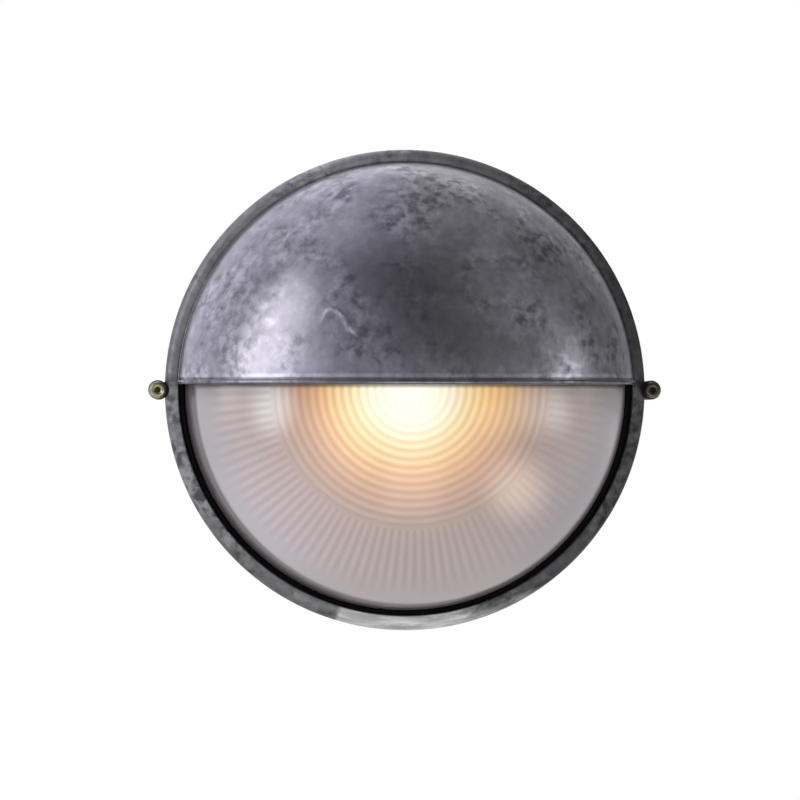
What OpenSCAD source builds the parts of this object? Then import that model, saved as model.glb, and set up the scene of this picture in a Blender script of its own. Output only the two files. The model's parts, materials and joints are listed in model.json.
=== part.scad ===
// Round outdoor wall light: a cast dish on the wall, a cast ring with a half-dome hood, and a ribbed glass.
// Every piece is drawn with the wall as its floor (X right, Y up, Z away from the wall) and then stood upright.

/* [Front ring] */
// Outer radius of the cast ring, the widest round of the light
ring_r = 125; // [118:1:135]
// Width of the ring's front face, from its outer wall to its opening
ring_face = 7.2; // [6:0.2:8]
// Distance from the wall to the ring's front face
ring_h = 58; // [56:1:64]
// Radius of the ring's rounded front shoulder
shoulder_r = 5; // [3:0.5:5.5]

/* [Hood] */
// How far the half-dome hood stands out of the ring
hood_depth = 86; // [80:1:100]
// Wall of the hood at its root
hood_wall = 2.6; // [2.2:0.1:3]
// Height of the hood's lower edge above the middle of the light
lip_y = 2; // [0:0.5:6]
// Height of the raised bead along that edge
bead_w = 3.6; // [3:0.2:5]
// How far the bead stands proud of the dome
bead_out = 1.5; // [0.8:0.1:2]

/* [Glass] */
// How far the glass stands out from its seat
glass_depth = 62; // [56:1:66]
// Wall of the glass
glass_wall = 4; // [3.5:0.1:4.5]
// Number of round ribs inside the middle of the glass
ring_ribs = 16; // [12:1:18]
// Distance from one round rib to the next
rib_pitch = 4.2; // [4:0.1:4.4]
// Height of the round ribs
rib_rise = 0.9; // [0.5:0.1:1.2]
// Number of straight ribs around the side of the glass
flutes = 120; // [60:12:120]
// Height of the straight ribs
flute_rise = 0.8; // [0.5:0.1:1.2]

/* [Housing] */
// Distance from the wall to the housing's rim
rim_h = 44; // [44:1:46]
// Wall of the housing
housing_wall = 4; // [3.5:0.1:4.5]
// Diameter of the circle that the wall screws sit on
fixing_pcd = 160; // [150:2:164]
// Diameter of each wall-screw hole
fixing_d = 5.5; // [4.5:0.5:6.5]
// Diameter of the supply cable that the grommet takes
cable_d = 8; // [7:0.5:9]

/* [Side screws] */
// Distance of each side screw from the middle of the light
screw_x = 128.6; // [128:0.1:130]
// Thread diameter of the side screws
screw_d = 5; // [4:0.5:5]
// Length of the side screws under the head
screw_l = 28; // [26:1:29]

/* [Lamp] */
// Distance of the bulb's axis from the wall
lamp_h = 52; // [50:1:54]
// Diameter of the bulb's globe
bulb_d = 60; // [55:1:62]

/* [Hidden] */
$fn = 96;

far = 300;               // longer than the whole light, for cutting
eps = 0.01;              // lets a cut run just past a face
arc_step = 6;            // degrees between the points of a drawn curve

// Ring, glass seat and skirt
opening_r = ring_r - ring_face;
lip_back_h = ring_h - 6;              // back of the ring's front lip, where the gasket sits
skirt_r = ring_r - 3.8;               // inside of the ring's skirt
skirt_h = rim_h - 8;                  // open end of the skirt
inner_round = 0.8;                    // rounding of the ring's inner edge

// Hood
dome_base = ring_h - 2;
dome_out = [opening_r, ring_h + hood_depth - dome_base];
dome_in = dome_out - [hood_wall, hood_wall + 0.6];
hood_root_h = lip_back_h + 1.6;

// Glass
glass_r = opening_r - 3.2;
flange_r = skirt_r - 1.4;
flange_t = 3.5;
flange_h = lip_back_h - 2.5 - flange_t;
glass_in = [glass_r - glass_wall, glass_depth - glass_wall];
flute_start = (ring_ribs + 1) * rib_pitch;   // the straight ribs begin one pitch outside the round ones
flute_end = glass_r * 0.905;
flute_w = 2.2;

// Housing
back_r = 103;
back_round = 7;
wall_out_r = 114.5;
rim_r = 118.6;
rim_in_r = 110.5;
seal_groove = [113, 117];
wall_groove = [92, 98];
entry_r = 10.25;
entry_pad_h = 6;
ear_r = 5;
ear_h = skirt_h - 0.5;
ear_seat_h = ring_h - 5;
fixing_pad_h = 6;

// Inside
plate_h = 17;                         // underside of the reflector, on its bosses
plate_t = 1;
boss_r = 4.5;
bracket_screw_at = [12, 70];
reflector_screw_at = [60, -30];
bush_at = [0, 92];
bush_hole_r = 4.6;
holder_y = [46, 84];                  // mouth and back of the lampholder
holder_r = 20.5;
bracket_t = 1.5;
block_at = [0, -34];
block = [32, 18, 11];
block_h = 5;
way_pitch = 10;
way_w = 6;
wire_r = 1.2;
earth_at = [36, -62];
earth_h = 9;
washer_t = 0.8;
m4_r = 2;
m3_r = 1.5;
block_screw_r = 1.25;
head_h = 5;

// Routes of the leads, through points (X, Y, distance from the wall)
live_route = [
    [-10, -38, 10.5], [-10, -47, 10.5], [-15, -55, 10], [-25, -53, 9.5], [-31, -40, 9], [-32, -15, 9],
    [-31, 15, 9], [-25, 42, 9.5], [-12, 58, 10], [-5, 70, 10], [-3, 82, 10], [-1.8, 90, 13],
    [-1.8, 92, 20], [-2.5, 93, 30], [-4, 94, 41], [-5.5, 93, 49], [-6, 88, 52], [-6, 82.4, 52]
];
neutral_route = [for (p = live_route) [-p[0], p[1], p[2]]];
earth_route = [
    [0, -38, 10.5], [0, -46, 10.5], [3, -54, 11], [10, -60, 11.2], [18, -62, 11.2], [28, -62, 11.2]
];

function arc_pts(centre, r, a0, a1) =
    let (n = ceil(abs(a1 - a0) / (2 * arc_step)))
    [for (i = [0:n]) let (a = a0 + (a1 - a0) * i / n) centre + r * [cos(a), sin(a)]];

// A quarter of an ellipse in the plane of radius and height, between two of its angles
function dome_pts(size, base, a0, a1) =
    let (n = ceil(abs(a1 - a0) / arc_step))
    [for (i = [0:n]) let (a = a0 + (a1 - a0) * i / n) [size[0] * cos(a), base + size[1] * sin(a)]];

function dome_h(size, base, r) = base + size[1] * sqrt(max(0, 1 - pow(r / size[0], 2)));

function mix(p, q, t) = p * (1 - t) + q * t;

// One point of a smooth curve through four neighbouring points of a route
function spline_pt(a, b, c, d, t) =
    0.5 * (2 * b + (c - a) * t + (2 * a - 5 * b + 4 * c - d) * t * t + (3 * b - a - 3 * c + d) * t * t * t);

function smooth_route(p, steps) =
    let (last = len(p) - 1)
    concat(
        [for (i = [0:last - 1], s = [0:steps - 1])
            spline_pt(p[max(i - 1, 0)], p[i], p[i + 1], p[min(i + 2, last)], s / steps)],
        [p[last]]
    );

function unit(v) = v / norm(v);

function tangents(p) =
    [for (i = [0:len(p) - 1]) unit(p[min(i + 1, len(p) - 1)] - p[max(i - 1, 0)])];

// Carries one normal along the route without twisting it
function carried(t, i = 0, found = []) =
    i == len(t) ? found :
    let (
        before = i == 0 ? (abs(t[0][2]) < 0.9 ? [0, 0, 1] : [1, 0, 0]) : found[i - 1],
        n = unit(before - (before * t[i]) * t[i])
    )
    carried(t, i + 1, concat(found, [n]));

// Stands a piece up on the wall: height above the wall becomes distance in front of it
module on_wall() {
    rotate([90, 0, 0]) children();
}

module lathe(points) {
    rotate_extrude() polygon(points);
}

// A piece turned on the bulb's axis, drawn with its own axis along the light's height
module along_lamp() {
    translate([0, 0, lamp_h]) rotate([-90, 0, 0]) children();
}

module mirrored_pair() {
    children();
    mirror([1, 0, 0]) children();
}

module at(place, h) {
    translate([place[0], place[1], h]) children();
}

// A tube swept along a route
module wire(route) {
    sides = 8;
    p = smooth_route(route, 2);
    t = tangents(p);
    n = carried(t);
    rings = [for (i = [0:len(p) - 1], k = [0:sides - 1])
        let (a = 360 * k / sides) p[i] + wire_r * (cos(a) * n[i] + sin(a) * cross(t[i], n[i]))];
    skin = [for (i = [0:len(p) - 2], k = [0:sides - 1])
        let (a = i * sides, b = a + sides, q = (k + 1) % sides) each [[a + k, b + k, b + q], [a + k, b + q, a + q]]];
    caps = [
        [for (k = [0:sides - 1]) k],
        [for (k = [sides - 1:-1:0]) (len(p) - 1) * sides + k]
    ];
    polyhedron(rings, concat(skin, caps));
}

module pan_screw(r, length, head_r, head) {
    difference() {
        union() {
            translate([0, 0, -length]) cylinder(h = length + eps, r = r);
            cylinder(h = head, r = head_r);
        }
        translate([-head_r - 1, -0.5, head * 0.55]) cube([2 * head_r + 2, 1, head]);
    }
}

// Housing

housing_profile = concat(
    [[0, 0], [back_r, 0]],
    arc_pts([back_r, back_round], back_round, -75, -10),
    [
        [wall_out_r, rim_h - 11], [rim_r, rim_h - 8.5], [rim_r, rim_h], [rim_in_r, rim_h],
        [rim_in_r, rim_h - 8], [back_r + back_round - housing_wall + 0.3, 10]
    ],
    arc_pts([back_r - 1.5, 10], 4.8, -10, -80),
    [[back_r - 6, housing_wall], [0, housing_wall]]
);

module housing_ears() {
    web = 7;
    mirrored_pair() {
        translate([screw_x, 0, ear_h - 11.5]) cylinder(h = 11.5, r = ear_r);
        translate([wall_out_r - 2, -web / 2, ear_h - 11.5]) cube([screw_x - wall_out_r + 2, web, 11.5]);
    }
}

module back_housing() {
    color([0.55, 0.55, 0.57]) on_wall() difference() {
        union() {
            lathe(housing_profile);
            housing_ears();
            translate([0, 0, 1]) cylinder(h = entry_pad_h - 1, r = 18);
            for (a = [45:90:315]) rotate(a) translate([fixing_pcd / 2, 0, 1]) cylinder(h = fixing_pad_h - 1, r = 8);
            mirrored_pair() {
                at(bracket_screw_at, 1) cylinder(h = plate_h - 1, r = boss_r);
                at(reflector_screw_at, 1) cylinder(h = plate_h - 1, r = boss_r);
            }
            at(earth_at, 1) cylinder(h = earth_h - 1, r = 5);
            at(block_at, 1 + (block_h - 1) / 2) cube([block[0], block[1], block_h - 1], center = true);
        }
        // Grooves for the two seals
        translate([0, 0, -eps]) lathe([
            [wall_groove[0], 0], [wall_groove[1], 0], [wall_groove[1], 2], [wall_groove[0], 2]
        ]);
        lathe([
            [seal_groove[0], rim_h - 2.5], [seal_groove[1], rim_h - 2.5],
            [seal_groove[1], rim_h + 1], [seal_groove[0], rim_h + 1]
        ]);
        // Cable entry, wall screws and threaded holes
        translate([0, 0, -1]) cylinder(h = entry_pad_h + 2, r = entry_r);
        translate([0, 0, -1]) cylinder(h = 3, r = 13.4);
        for (a = [45:90:315]) rotate(a) translate([fixing_pcd / 2, 0, -1]) cylinder(h = fixing_pad_h + 2, d = fixing_d);
        mirrored_pair() {
            at([screw_x, 0], ear_h - 12.5) cylinder(h = 14, r = screw_d / 2 + 0.05);
            at(bracket_screw_at, 7) cylinder(h = plate_h, r = m4_r + 0.05);
            at(reflector_screw_at, 7) cylinder(h = plate_h, r = m4_r + 0.05);
        }
        at(earth_at, 2) cylinder(h = earth_h, r = m4_r + 0.05);
        at(block_at + [way_pitch / 2, 0], 1) cylinder(h = block_h, r = block_screw_r + 0.05);
    }
}

module wall_seal() {
    color([0.08, 0.08, 0.08]) on_wall() lathe([
        [wall_groove[0] + 0.2, 0], [wall_groove[1] - 0.2, 0], [wall_groove[1] - 0.2, 1.95], [wall_groove[0] + 0.2, 1.95]
    ]);
}

module cable_grommet() {
    bore = cable_d / 2;
    color([0.1, 0.1, 0.1]) on_wall() lathe([
        [bore, 0.2], [13, 0.2], [13, 1.95], [entry_r - 0.1, 1.95], [entry_r - 0.1, entry_pad_h + 0.05],
        [12.8, entry_pad_h + 0.05], [12.2, entry_pad_h + 1.8], [8, entry_pad_h + 2.4], [5.6, 12], [bore, 12]
    ]);
}

module rim_seal() {
    top = flange_h - 0.05;
    color([0.75, 0.72, 0.68]) on_wall() lathe([
        [seal_groove[0] + 0.2, rim_h - 2.5], [seal_groove[1] - 0.2, rim_h - 2.5], [seal_groove[1] - 0.2, top - 1],
        [seal_groove[1] - 1.2, top], [seal_groove[0] + 1.2, top], [seal_groove[0] + 0.2, top - 1]
    ]);
}

// Reflector and lampholder

module reflector() {
    flat_r = 98;
    color([0.93, 0.93, 0.9]) on_wall() difference() {
        lathe([
            [0, plate_h], [flat_r + 0.4, plate_h], [106.5, 33.6], [105.6, 34.2],
            [flat_r - 0.2, plate_h + plate_t], [0, plate_h + plate_t]
        ]);
        mirrored_pair() {
            at(bracket_screw_at, plate_h - 1) cylinder(h = 3, r = m4_r + 0.2);
            at(reflector_screw_at, plate_h - 1) cylinder(h = 3, r = m4_r + 0.2);
        }
        at(bush_at, plate_h - 1) cylinder(h = 3, r = bush_hole_r);
    }
}

module reflector_screw(side) {
    color([0.75, 0.75, 0.72]) on_wall()
        at([side * reflector_screw_at[0], reflector_screw_at[1]], plate_h + plate_t) pan_screw(m4_r, 10, 3.8, 2.4);
}

module wire_bush() {
    low = plate_h;
    flange = bush_hole_r + 1.1;
    color([0.12, 0.12, 0.12]) on_wall() at(bush_at, 0) lathe([
        [3.6, low - 1.5], [flange, low - 1.5], [flange, low], [bush_hole_r - 0.1, low],
        [bush_hole_r - 0.1, low + plate_t], [flange, low + plate_t], [flange - 0.4, low + plate_t + 1.5],
        [3.6, low + plate_t + 1.5]
    ]);
}

module holder_bracket() {
    foot_h = plate_h + plate_t;
    back = holder_y[1];
    half = 19;
    color([0.8, 0.8, 0.78]) on_wall() difference() {
        union() {
            translate([-half, 60, foot_h]) cube([2 * half, back + bracket_t - 60, bracket_t]);
            translate([-half, back, foot_h]) cube([2 * half, bracket_t, lamp_h - foot_h]);
            along_lamp() translate([0, 0, back]) cylinder(h = bracket_t, r = half);
        }
        mirrored_pair() {
            at(bracket_screw_at, foot_h - 1) cylinder(h = 4, r = m4_r + 0.2);
            along_lamp() {
                translate([6, 0, back - 1]) cylinder(h = 4, r = 2.2);
                translate([13, 0, back - 1]) cylinder(h = 4, r = m3_r + 0.1);
            }
        }
    }
}

module bracket_screw(side) {
    color([0.75, 0.75, 0.72]) on_wall()
        at([side * bracket_screw_at[0], bracket_screw_at[1]], plate_h + plate_t + bracket_t) pan_screw(m4_r, 11, 3.8, 2.4);
}

module lampholder() {
    mouth = holder_y[0];
    back = holder_y[1];
    color([0.95, 0.94, 0.9]) on_wall() along_lamp() difference() {
        lathe([
            [16.2, mouth], [holder_r - 1.5, mouth], [holder_r, mouth + 1.5], [holder_r, mouth + 8],
            [holder_r - 1.2, mouth + 9.2], [holder_r - 1.2, back - 4], [holder_r - 3, back], [0, back],
            [0, back - 6], [14.4, back - 6], [14.4, mouth + 5], [16.2, mouth + 4]
        ]);
        mirrored_pair() {
            translate([6, 0, back - 2]) cylinder(h = 3, r = 1.6);
            translate([13, 0, back - 5]) cylinder(h = 6, r = m3_r + 0.05);
        }
    }
}

module holder_shell() {
    color([0.8, 0.65, 0.3]) on_wall() along_lamp() lathe([
        [13.7, holder_y[0] + 6], [14.3, holder_y[0] + 6], [14.3, holder_y[1] - 7], [13.7, holder_y[1] - 7]
    ]);
}

module holder_contact() {
    color([0.8, 0.65, 0.3]) on_wall() along_lamp() {
        translate([0, 0, holder_y[1] - 8.1]) cylinder(h = 1.1, r = 3);
        translate([0, 0, holder_y[1] - 7]) cylinder(h = 1, r = 5);
    }
}

module holder_screw(side) {
    color([0.75, 0.75, 0.72]) on_wall() along_lamp()
        translate([side * 13, 0, holder_y[1] + bracket_t]) pan_screw(m3_r, 5.5, 2.7, 1.9);
}

bulb_r = bulb_d / 2;
bulb_profile = concat(
    arc_pts([0, 0], bulb_r, -90, 38),
    [for (t = [0.2:0.2:1]) let (s = t * t * (3 - 2 * t)) [
        mix(bulb_r * cos(38), 13.6, 0.55 * t + 0.45 * s), mix(bulb_r * sin(38), 50, t)]],
    [[13.2, 50.4], [13.2, 69], [10, 72], [4.6, 73.5], [4.6, 75.8], [0, 75.8]]
);

module light_bulb() {
    color([1, 0.93, 0.75]) on_wall() along_lamp() lathe(bulb_profile);
}

// Wiring

module terminal_block() {
    color([0.9, 0.9, 0.86]) on_wall() at(block_at, block_h) difference() {
        union() {
            translate([-block[0] / 2, -block[1] / 2, 0]) cube([block[0], block[1], 3]);
            for (i = [-1:1]) translate([i * way_pitch - way_w / 2, 0.5 - block[1] / 2, 1])
                cube([way_w, block[1] - 1, block[2] - 1]);
        }
        for (i = [-1:1]) translate([i * way_pitch, 0, 5.5]) {
            rotate([90, 0, 0]) cylinder(h = block[1] + 4, r = 1.9, center = true);
            for (y = [-5, 5]) translate([0, y, 0]) cylinder(h = 10, r = 1.9);
        }
        translate([way_pitch / 2, 0, -1]) cylinder(h = 5, r = block_screw_r + 0.15);
    }
}

module terminal_screws() {
    color([0.8, 0.8, 0.78]) on_wall() at(block_at, block_h + 7.6)
        for (i = [-1:1], y = [-5, 5]) translate([i * way_pitch, y, 0]) difference() {
            cylinder(h = 2.6, r = 1.8);
            translate([-2, -0.3, 1.8]) cube([4, 0.6, 2]);
        }
}

module block_screw() {
    color([0.75, 0.75, 0.72]) on_wall()
        at(block_at + [way_pitch / 2, 0], block_h + 3) pan_screw(block_screw_r, 6.5, 1.9, 1.3);
}

module earth_lug() {
    color([0.8, 0.8, 0.78]) on_wall() at(earth_at, earth_h) difference() {
        union() {
            cylinder(h = 1, r = 4.5);
            translate([-8, -2, 0]) cube([8, 4, 1]);
            translate([-13, 0, 2.2]) rotate([0, 90, 0]) cylinder(h = 6, r = 2.1);
        }
        translate([0, 0, -1]) cylinder(h = 4, r = m4_r + 0.15);
        translate([-14, 0, 2.2]) rotate([0, 90, 0]) cylinder(h = 8, r = wire_r + 0.15);
    }
}

module earth_screw() {
    color([0.8, 0.65, 0.3]) on_wall() at(earth_at, earth_h + 1) pan_screw(m4_r, 6.5, 3.8, 2.4);
}

// Front ring and hood

ring_profile = concat(
    [[skirt_r, skirt_h], [ring_r - 0.6, skirt_h], [ring_r, skirt_h + 0.6]],
    arc_pts([ring_r - shoulder_r, ring_h - shoulder_r], shoulder_r, 0, 90),
    arc_pts([opening_r + inner_round, ring_h - inner_round], inner_round, 90, 180),
    [[opening_r, lip_back_h], [skirt_r, lip_back_h]]
);

hood_profile = concat(
    [[dome_in[0], hood_root_h], [opening_r + 1.6, hood_root_h], [opening_r + 1.6, ring_h - 0.7]],
    dome_pts(dome_out, dome_base, 1, 90),
    dome_pts(dome_in, dome_base, 90, 0)
);

bead_profile = concat(
    [[dome_in[0] + 1, hood_root_h + 1], [opening_r + bead_out, hood_root_h + 1]],
    dome_pts(dome_out + [bead_out, bead_out], dome_base, 0, 90),
    dome_pts(dome_in + [1.2, 1.2], dome_base, 90, 1)
);

module above(y0, y1) {
    translate([-far / 2, y0, 0]) cube([far, y1 - y0, far]);
}

module frame_ears() {
    web = 8;
    mirrored_pair() {
        translate([screw_x, 0, skirt_h]) cylinder(h = ear_seat_h - skirt_h, r = ear_r);
        translate([skirt_r + 1, -web / 2, skirt_h]) cube([screw_x - skirt_r - 1, web, ear_seat_h - skirt_h]);
    }
}

module hooded_frame() {
    color([0.5, 0.5, 0.53]) on_wall() difference() {
        union() {
            lathe(ring_profile);
            intersection() {
                lathe(hood_profile);
                above(lip_y, far / 2);
            }
            intersection() {
                lathe(bead_profile);
                above(lip_y, lip_y + bead_w);
            }
            frame_ears();
        }
        // Groove for the spring ring
        rotate_extrude() translate([skirt_r - 0.6, flange_h - 1.25]) circle(r = 1.3, $fn = 32);
        mirrored_pair() at([screw_x, 0], 0) {
            cylinder(h = far, r = screw_d / 2 + 0.25);
            translate([0, 0, ear_seat_h]) cylinder(h = far, r = 4.9);
        }
    }
}

// Glass and its seat

module lens_gasket() {
    top = lip_back_h;
    color([0.05, 0.05, 0.05]) on_wall() lathe([
        [flange_r + 0.1, flange_h], [skirt_r - 0.1, flange_h], [skirt_r - 0.1, top], [opening_r - 0.2, top],
        [opening_r - 0.6, top + 1.4], [glass_r + 0.7, top + 1.4], [glass_r + 0.3, top], [glass_r + 0.3, top - 2.5],
        [flange_r + 0.1, top - 2.5]
    ]);
}

// Inner outline of the glass from the middle outwards: pointed round ribs, then the plain bowl
glass_inside = concat(
    [for (i = [0:ring_ribs - 1]) each [
        [i * rib_pitch, dome_h(glass_in, lip_back_h, i * rib_pitch)],
        [(i + 0.5) * rib_pitch, dome_h(glass_in, lip_back_h, (i + 0.5) * rib_pitch) - rib_rise]
    ]],
    [for (r = [ring_ribs * rib_pitch, 78, 88, 97, 103, 107]) [r, dome_h(glass_in, lip_back_h, r)]],
    [[glass_in[0], lip_back_h + 8], [glass_in[0], flange_h]]
);

glass_outside = concat(
    [[flange_r, flange_h], [flange_r, flange_h + flange_t], [glass_r, flange_h + flange_t]],
    dome_pts([glass_r, glass_depth], lip_back_h, 0, 90)
);

// One straight rib: a thin fin that follows the inside of the bowl
module flute() {
    reach = [for (i = [0:3]) mix(flute_start, flute_end, i / 3)];
    back = glass_wall * 0.4;
    points = concat(
        [for (r = reach) [r, dome_h(glass_in, lip_back_h, r) - flute_rise * (r == reach[3] ? 0.1 : 1)]],
        [for (i = [3:-1:0]) [reach[i], dome_h(glass_in, lip_back_h, reach[i]) + back]]
    );
    rotate([90, 0, 0]) linear_extrude(height = flute_w, center = true) polygon(points);
}

module glass_lens() {
    color([0.85, 0.85, 0.88, 0.6]) on_wall() union() {
        lathe(concat(glass_inside, glass_outside));
        for (i = [0:flutes - 1]) rotate(i * 360 / flutes) flute();
    }
}

module lens_spring_ring() {
    color([0.7, 0.7, 0.7]) on_wall() rotate(-80) rotate_extrude(angle = 340)
        translate([skirt_r - 0.7, flange_h - 1.25]) circle(r = 1.2, $fn = 32);
}

// Side screws

module side_washer(side) {
    color([0.75, 0.6, 0.3]) on_wall() at([side * screw_x, 0], ear_seat_h) difference() {
        cylinder(h = washer_t, r = 4.7);
        translate([0, 0, -1]) cylinder(h = 3, r = screw_d / 2 + 0.2);
    }
}

module side_screw(side) {
    head_r = 4.25;
    socket_r = 2.3;
    color([0.78, 0.63, 0.32]) on_wall() at([side * screw_x, 0], ear_seat_h + washer_t) difference() {
        union() {
            lathe([[0, 0], [head_r, 0], [head_r, head_h - 0.5], [head_r - 0.5, head_h], [0, head_h]]);
            translate([0, 0, -screw_l]) lathe([
                [0, 0], [screw_d / 2 - 0.7, 0], [screw_d / 2, 0.7], [screw_d / 2, screw_l + 1], [0, screw_l + 1]
            ]);
        }
        translate([0, 0, head_h - 2.6]) cylinder(h = 5, r = socket_r, $fn = 6);
    }
}

back_housing();
wall_seal();
cable_grommet();
rim_seal();
reflector();
reflector_screw(-1);  // reflector_screw_left
reflector_screw(1);  // reflector_screw_right
wire_bush();
holder_bracket();
bracket_screw(-1);  // bracket_screw_left
bracket_screw(1);  // bracket_screw_right
lampholder();
holder_shell();
holder_contact();
holder_screw(-1);  // holder_screw_left
holder_screw(1);  // holder_screw_right
light_bulb();
terminal_block();
terminal_screws();
block_screw();
color([0.4, 0.2, 0.1]) on_wall() wire(live_route);  // live_wire
color([0.15, 0.3, 0.7]) on_wall() wire(neutral_route);  // neutral_wire
color([0.3, 0.65, 0.2]) on_wall() wire(earth_route);  // earth_wire
earth_lug();
earth_screw();
hooded_frame();
lens_gasket();
glass_lens();
lens_spring_ring();
side_washer(-1);  // washer_left
side_screw(-1);  // screw_left
side_washer(1);  // washer_right
side_screw(1);  // screw_right
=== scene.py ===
import json
import math
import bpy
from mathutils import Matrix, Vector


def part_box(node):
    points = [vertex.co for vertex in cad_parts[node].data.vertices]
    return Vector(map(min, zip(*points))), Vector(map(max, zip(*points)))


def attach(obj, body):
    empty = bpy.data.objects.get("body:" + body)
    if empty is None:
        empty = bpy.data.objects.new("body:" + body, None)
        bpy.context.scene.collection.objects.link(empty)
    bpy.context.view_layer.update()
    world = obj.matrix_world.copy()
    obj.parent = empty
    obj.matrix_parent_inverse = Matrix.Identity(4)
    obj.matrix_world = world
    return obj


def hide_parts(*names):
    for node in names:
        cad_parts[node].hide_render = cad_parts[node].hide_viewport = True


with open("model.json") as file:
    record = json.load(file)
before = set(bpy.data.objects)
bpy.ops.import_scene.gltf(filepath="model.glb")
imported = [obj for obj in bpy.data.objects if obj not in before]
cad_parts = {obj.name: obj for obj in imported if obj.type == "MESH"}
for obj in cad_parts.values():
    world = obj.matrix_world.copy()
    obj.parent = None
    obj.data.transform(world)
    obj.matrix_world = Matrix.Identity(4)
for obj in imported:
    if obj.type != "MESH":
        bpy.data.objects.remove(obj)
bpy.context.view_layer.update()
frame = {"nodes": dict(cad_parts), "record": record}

from types import SimpleNamespace

import bmesh
import bpy
from mathutils import Vector

scene = bpy.context.scene
nodes = frame["nodes"]
print("frame loaded:", len(nodes), "nodes")

tiny = 1e-6               # points nearer than this are one point


# Selecting and editing, as by hand

def deselectAll():
    if bpy.context.object and bpy.context.object.mode != "OBJECT":
        bpy.ops.object.mode_set(mode="OBJECT")
    bpy.ops.object.select_all(action="DESELECT")


def only(piece):
    deselectAll()
    piece.select_set(True)
    bpy.context.view_layer.objects.active = piece


def startEdit(piece):
    only(piece)
    bpy.ops.object.mode_set(mode="EDIT")
    bpy.ops.mesh.select_mode(type="VERT")
    bpy.ops.mesh.select_all(action="SELECT")


def endEdit():
    bpy.ops.object.mode_set(mode="OBJECT")


def openPicking(piece, kind):
    bpy.ops.mesh.select_mode(type=kind)
    bpy.ops.mesh.select_all(action="DESELECT")
    return bmesh.from_edit_mesh(piece.data)


def pickVerts(piece, test):
    shape = openPicking(piece, "VERT")
    for v in shape.verts:
        v.select = bool(test(v.co))
    shape.select_flush_mode()
    bmesh.update_edit_mesh(piece.data)


def pickFaces(piece, test):
    for f in openPicking(piece, "FACE").faces:
        f.select = bool(test(f.calc_center_median()))
    bmesh.update_edit_mesh(piece.data)


def pickEdges(piece, test):
    for e in openPicking(piece, "EDGE").edges:
        e.select = bool(test(e.verts[0].co, e.verts[1].co))
    bmesh.update_edit_mesh(piece.data)


def joinDoubles():
    bpy.ops.mesh.select_all(action="SELECT")
    bpy.ops.mesh.remove_doubles(threshold=tiny)


def faceOutwards():
    bpy.ops.mesh.select_all(action="SELECT")
    bpy.ops.mesh.normals_make_consistent(inside=False)


def swing(angle, axis, centre=(0, 0, 0)):
    bpy.ops.transform.rotate(value=angle, orient_axis=axis, orient_type="GLOBAL", center_override=centre)


def swell(distance):
    # the picked faces are drawn out of the skin, or pressed into it
    bpy.ops.mesh.extrude_region_shrink_fatten(TRANSFORM_OT_shrink_fatten={"value": distance})


def freeze(piece):
    only(piece)
    bpy.ops.object.transform_apply(location=True, rotation=True, scale=True)
    return piece


def named(name):
    # the piece just made gets its name, and its turn and size go into its mesh
    piece = bpy.context.object
    piece.name = piece.data.name = name
    return freeze(piece)


def applied(piece, kind, **settings):
    # one modifier, set and applied at once
    only(piece)
    bpy.ops.object.modifier_add(type=kind)
    modifier = piece.modifiers[-1]
    for key, value in settings.items():
        setattr(modifier, key, value)
    bpy.ops.object.modifier_apply(modifier=modifier.name)
    return piece


def combine(piece, other, operation="UNION"):
    applied(piece, "BOOLEAN", operation=operation, object=other, solver="MANIFOLD")
    bpy.data.objects.remove(other)
    return piece


def smooth(piece, degrees):
    only(piece)
    bpy.ops.object.shade_smooth_by_angle(angle=math.radians(degrees))


# Outlines and lathe work. An outline is drawn as (radius, distance from the wall).

def arc(centre, radius, start, end, steps):
    angles = [math.radians(start + (end - start) * i / steps) for i in range(steps + 1)]
    return [(centre[0] + radius * math.cos(a), centre[1] + radius * math.sin(a)) for a in angles]


def domeLine(size, base, steps):
    angles = [math.pi / 2 * i / steps for i in range(steps + 1)]
    return [(size[0] * math.cos(a), base + size[1] * math.sin(a)) for a in angles]


def domeAt(size, base, radius):
    return base + size[1] * math.sqrt(max(0.0, 1 - (radius / size[0]) ** 2))


def onWall(point):
    return Vector((point[0], -point[1], 0))


def drawLine(name, points):
    # one corner of the outline after the other is extruded from the last
    deselectAll()
    bpy.ops.mesh.primitive_plane_add(size=0.001, location=points[0])
    line = named(name)
    startEdit(line)
    bpy.ops.mesh.merge(type="CENTER")
    for before, after in zip(points, points[1:]):
        bpy.ops.mesh.extrude_vertices_move(TRANSFORM_OT_translate={"value": after - before})
    return line


def turned(name, outline, steps, place=onWall, centre=(0, 0, 0)):
    piece = drawLine(name, [place(p) for p in outline])
    joinDoubles()
    bpy.ops.mesh.spin(steps=steps, angle=2 * math.pi, center=centre, axis=(0, 1, 0))
    joinDoubles()
    bpy.ops.mesh.delete_loose(use_verts=True, use_edges=True, use_faces=False)
    faceOutwards()
    endEdit()
    return piece


def rod(name, radius, start, end, x, sides=64):
    # a plain cylinder square to the wall, from one distance to another
    deselectAll()
    bpy.ops.mesh.primitive_cylinder_add(
        vertices=sides, radius=radius, depth=end - start, location=(x, -(start + end) / 2, 0),
        rotation=(math.pi / 2, 0, 0))
    return named(name)


def block(name, low, high):
    deselectAll()
    bpy.ops.mesh.primitive_cube_add(size=1, location=[(a + b) / 2 for a, b in zip(low, high)],
                                    scale=[b - a for a, b in zip(low, high)])
    return named(name)


def soften(piece, test, width, segments):
    startEdit(piece)
    pickEdges(piece, test)
    bpy.ops.mesh.bevel(offset=width, segments=segments, profile=0.5, affect="EDGES")
    endEdit()


def finished(piece, body, slot, *replaced):
    piece.data.materials.clear()
    piece.data.materials.append(materials[slot])
    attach(piece, body)
    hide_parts(*replaced)
    print("made", piece.name, "with", len(piece.data.polygons), "faces")


# Shader nodes. They are made in the tree that was opened last.

opened = {"tree": None}


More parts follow.
